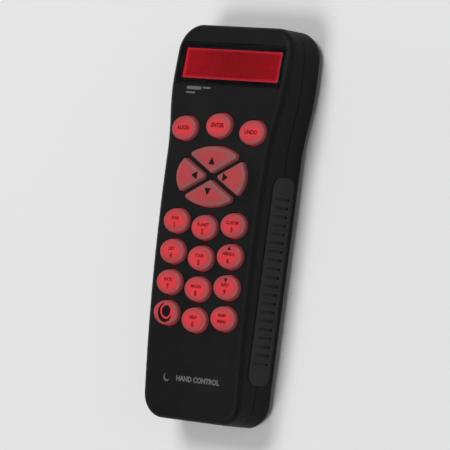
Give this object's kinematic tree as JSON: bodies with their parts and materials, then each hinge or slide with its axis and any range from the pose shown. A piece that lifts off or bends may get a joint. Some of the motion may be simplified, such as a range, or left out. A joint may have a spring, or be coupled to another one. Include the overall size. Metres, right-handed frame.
{
  "type": "hand controller",
  "caption": "Hand-held keypad controller for a motorised telescope: two-line red display, lit silicone keys, oval direction pad and two plug sockets.",
  "frame": {"origin": "middle of the flat back, under the middle of the bounding box", "axes": "+X to the right across the face, +Y along the body towards the display, +Z out of the face"},
  "size_m": [0.073, 0.184, 0.0288],
  "materials": {
    "housing": "fine spark-textured black ABS",
    "grip_rubber": "ribbed soft black rubber",
    "key_silicone": "translucent silicone, lit red from below",
    "keypad_mat": "silicone web, faint red glow",
    "display_lens": "clear acrylic with a black printed border",
    "display_frame": "black stamped steel",
    "display_glass": "liquid crystal cell, lit red",
    "display_backlight": "frosted diffuser",
    "foam": "closed-cell foam",
    "circuit_board": "green solder mask",
    "chip": "moulded epoxy",
    "connector": "moulded nylon",
    "ribbon": "grey ribbon cable",
    "can_metal": "drawn aluminium can",
    "contact_gold": "gold plated",
    "light_guide": "woven optical fibre in clear film",
    "led": "red tinted lens",
    "screw_steel": "zinc plated",
    "label": "blank satin polyester label"
  },
  "bodies": {
    "housing": {"front_shell": "housing", "rear_shell": "housing", "left_grip": "grip_rubber", "right_grip": "grip_rubber", "display_lens": "display_lens", "display_gasket": "foam", "display_frame": "display_frame", "display_glass": "display_glass", "display_backlight": "display_backlight", "display_board": "circuit_board", "display_screws": "screw_steel", "display_header": "connector", "display_ribbon": "ribbon", "main_board": "circuit_board", "board_header": "connector", "processor": "chip", "memory_chip": "chip", "regulator": "chip", "line_driver": "chip", "crystal": "can_metal", "board_capacitors": "can_metal", "board_resistors": "chip", "light_guide": "light_guide", "light_guide_ferrule": "connector", "backlight_led": "led", "keypad_mat": "keypad_mat", "cord_socket": "connector", "serial_socket": "connector", "cord_contacts": "contact_gold", "serial_contacts": "contact_gold", "case_screws": "screw_steel", "rear_label": "label"},
    "key_align": {"key_align": "key_silicone"},
    "key_enter": {"key_enter": "key_silicone"},
    "key_undo": {"key_undo": "key_silicone"},
    "arrow_up": {"arrow_up": "key_silicone"},
    "arrow_right": {"arrow_right": "key_silicone"},
    "arrow_left": {"arrow_left": "key_silicone"},
    "arrow_down": {"arrow_down": "key_silicone"},
    "key_1": {"key_1": "key_silicone"},
    "key_2": {"key_2": "key_silicone"},
    "key_3": {"key_3": "key_silicone"},
    "key_4": {"key_4": "key_silicone"},
    "key_5": {"key_5": "key_silicone"},
    "key_6": {"key_6": "key_silicone"},
    "key_7": {"key_7": "key_silicone"},
    "key_8": {"key_8": "key_silicone"},
    "key_9": {"key_9": "key_silicone"},
    "key_light": {"key_light": "key_silicone"},
    "key_0": {"key_0": "key_silicone"},
    "key_menu": {"key_menu": "key_silicone"}
  },
  "joints": [
    {"name": "key_align_press", "type": "slide", "parent": "housing", "child": "key_align", "axis": [0, 0, -1], "range_m": [0, 0.001], "stiffness_N_per_m": 1200, "springref_m": -0.0004},
    {"name": "key_enter_press", "type": "slide", "parent": "housing", "child": "key_enter", "axis": [0, 0, -1], "range_m": [0, 0.001], "stiffness_N_per_m": 1200, "springref_m": -0.0004},
    {"name": "key_undo_press", "type": "slide", "parent": "housing", "child": "key_undo", "axis": [0, 0, -1], "range_m": [0, 0.001], "stiffness_N_per_m": 1200, "springref_m": -0.0004},
    {"name": "arrow_up_press", "type": "slide", "parent": "housing", "child": "arrow_up", "axis": [0, 0, -1], "range_m": [0, 0.001], "stiffness_N_per_m": 1200, "springref_m": -0.0004},
    {"name": "arrow_right_press", "type": "slide", "parent": "housing", "child": "arrow_right", "axis": [0, 0, -1], "range_m": [0, 0.001], "stiffness_N_per_m": 1200, "springref_m": -0.0004},
    {"name": "arrow_left_press", "type": "slide", "parent": "housing", "child": "arrow_left", "axis": [0, 0, -1], "range_m": [0, 0.001], "stiffness_N_per_m": 1200, "springref_m": -0.0004},
    {"name": "arrow_down_press", "type": "slide", "parent": "housing", "child": "arrow_down", "axis": [0, 0, -1], "range_m": [0, 0.001], "stiffness_N_per_m": 1200, "springref_m": -0.0004},
    {"name": "key_1_press", "type": "slide", "parent": "housing", "child": "key_1", "axis": [0, 0, -1], "range_m": [0, 0.001], "stiffness_N_per_m": 1200, "springref_m": -0.0004},
    {"name": "key_2_press", "type": "slide", "parent": "housing", "child": "key_2", "axis": [0, 0, -1], "range_m": [0, 0.001], "stiffness_N_per_m": 1200, "springref_m": -0.0004},
    {"name": "key_3_press", "type": "slide", "parent": "housing", "child": "key_3", "axis": [0, 0, -1], "range_m": [0, 0.001], "stiffness_N_per_m": 1200, "springref_m": -0.0004},
    {"name": "key_4_press", "type": "slide", "parent": "housing", "child": "key_4", "axis": [0, 0, -1], "range_m": [0, 0.001], "stiffness_N_per_m": 1200, "springref_m": -0.0004},
    {"name": "key_5_press", "type": "slide", "parent": "housing", "child": "key_5", "axis": [0, 0, -1], "range_m": [0, 0.001], "stiffness_N_per_m": 1200, "springref_m": -0.0004},
    {"name": "key_6_press", "type": "slide", "parent": "housing", "child": "key_6", "axis": [0, 0, -1], "range_m": [0, 0.001], "stiffness_N_per_m": 1200, "springref_m": -0.0004},
    {"name": "key_7_press", "type": "slide", "parent": "housing", "child": "key_7", "axis": [0, 0, -1], "range_m": [0, 0.001], "stiffness_N_per_m": 1200, "springref_m": -0.0004},
    {"name": "key_8_press", "type": "slide", "parent": "housing", "child": "key_8", "axis": [0, 0, -1], "range_m": [0, 0.001], "stiffness_N_per_m": 1200, "springref_m": -0.0004},
    {"name": "key_9_press", "type": "slide", "parent": "housing", "child": "key_9", "axis": [0, 0, -1], "range_m": [0, 0.001], "stiffness_N_per_m": 1200, "springref_m": -0.0004},
    {"name": "key_light_press", "type": "slide", "parent": "housing", "child": "key_light", "axis": [0, 0, -1], "range_m": [0, 0.001], "stiffness_N_per_m": 1200, "springref_m": -0.0004},
    {"name": "key_0_press", "type": "slide", "parent": "housing", "child": "key_0", "axis": [0, 0, -1], "range_m": [0, 0.001], "stiffness_N_per_m": 1200, "springref_m": -0.0004},
    {"name": "key_menu_press", "type": "slide", "parent": "housing", "child": "key_menu", "axis": [0, 0, -1], "range_m": [0, 0.001], "stiffness_N_per_m": 1200, "springref_m": -0.0004}
  ]
}
